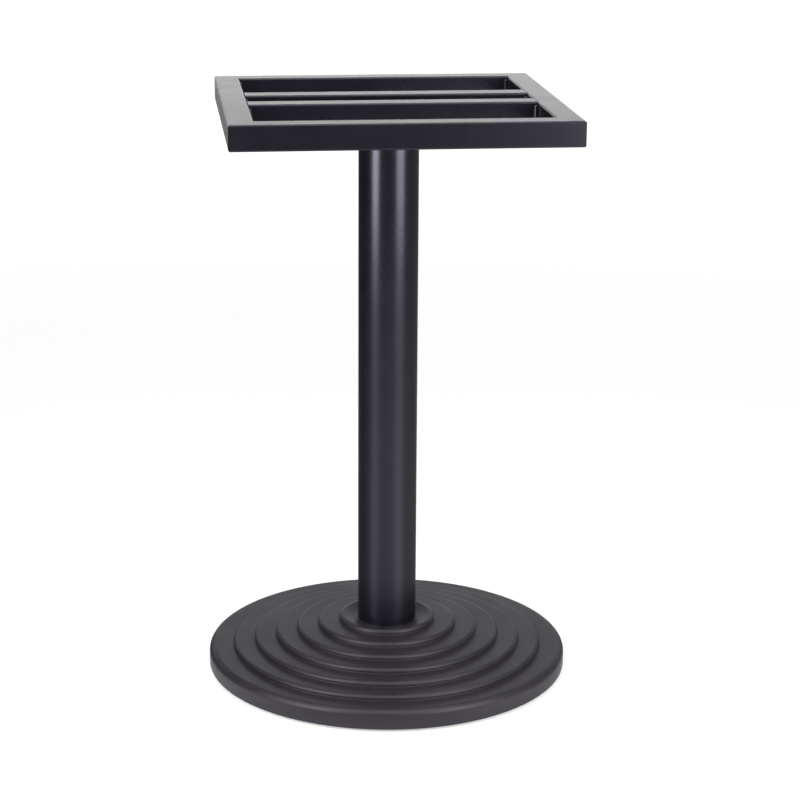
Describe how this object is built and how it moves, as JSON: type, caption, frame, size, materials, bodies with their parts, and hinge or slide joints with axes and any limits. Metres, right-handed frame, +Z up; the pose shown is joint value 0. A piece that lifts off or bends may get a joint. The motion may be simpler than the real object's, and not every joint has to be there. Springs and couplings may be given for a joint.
{
  "type": "table base",
  "caption": "Pedestal table base: round cast foot with concentric steps, round tube column and a square box-section frame with cross rails that carries a table top.",
  "frame": {"origin": "on the floor, under the centre of the column", "axes": "+Z up along the column, +X to the right and +Y away from the viewer of the picture, cross rails along X"},
  "size_m": [0.45, 0.45, 0.72],
  "materials": {
    "foot_paint": "satin black paint on cast iron",
    "frame_paint": "satin black powder coat on steel",
    "zinc": "zinc plated",
    "glide_nylon": "black nylon"
  },
  "bodies": {
    "root": {"base_casting": "foot_paint", "column_tube": "frame_paint", "front_rail": "frame_paint", "rear_rail": "frame_paint", "left_rail": "frame_paint", "right_rail": "frame_paint", "front_cross_rail": "frame_paint", "rear_cross_rail": "frame_paint", "column_plate": "frame_paint", "column_locator": "frame_paint", "tie_rod": "zinc", "top_washer": "zinc", "top_spring_washer": "zinc", "top_nut": "zinc", "bottom_washer": "zinc", "bottom_spring_washer": "zinc", "bottom_nut": "zinc", "glide_1": "glide_nylon", "glide_2": "glide_nylon", "glide_3": "glide_nylon", "glide_4": "glide_nylon", "glide_screws": "zinc"}
  },
  "joints": []
}
